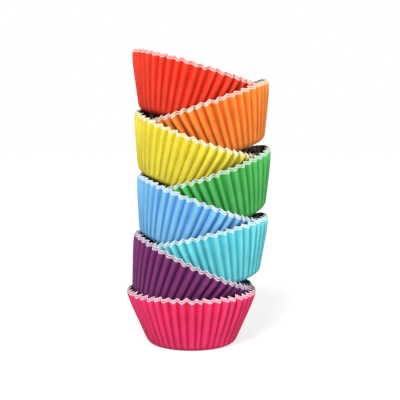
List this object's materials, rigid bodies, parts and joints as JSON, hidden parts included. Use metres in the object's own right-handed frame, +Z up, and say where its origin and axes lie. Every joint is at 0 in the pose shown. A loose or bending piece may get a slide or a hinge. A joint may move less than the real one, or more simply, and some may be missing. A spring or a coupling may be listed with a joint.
{
  "type": "stack of cupcake liners",
  "caption": "Zig-zag stack of pleated foil-lined paper baking cups: nested liners of one colour to each tier, every tier tilted in the one below",
  "frame": {"origin": "centre of the lowest liner's flat base, on the surface it stands on", "axes": "+Z up through the stack, +X to the right as seen from the front, +Y to the back"},
  "size_m": [0.0801, 0.0741, 0.1604],
  "materials": {
    "pink_paper": "matte outside, metal foil inside",
    "purple_paper": "matte outside, metal foil inside",
    "turquoise_paper": "matte outside, metal foil inside",
    "blue_paper": "matte outside, metal foil inside",
    "green_paper": "matte outside, metal foil inside",
    "yellow_paper": "matte outside, metal foil inside",
    "orange_paper": "matte outside, metal foil inside",
    "red_paper": "matte outside, metal foil inside"
  },
  "bodies": {
    "root": {"pink_liner_outer": "pink_paper", "pink_liner_inner": "pink_paper", "purple_liner_outer": "purple_paper", "purple_liner_inner": "purple_paper", "turquoise_liner_outer": "turquoise_paper", "turquoise_liner_inner": "turquoise_paper", "blue_liner_outer": "blue_paper", "blue_liner_inner": "blue_paper", "green_liner_outer": "green_paper", "green_liner_inner": "green_paper", "yellow_liner_outer": "yellow_paper", "yellow_liner_inner": "yellow_paper", "orange_liner_outer": "orange_paper", "orange_liner_inner": "orange_paper", "red_liner_outer": "red_paper", "red_liner_inner": "red_paper"}
  },
  "joints": []
}
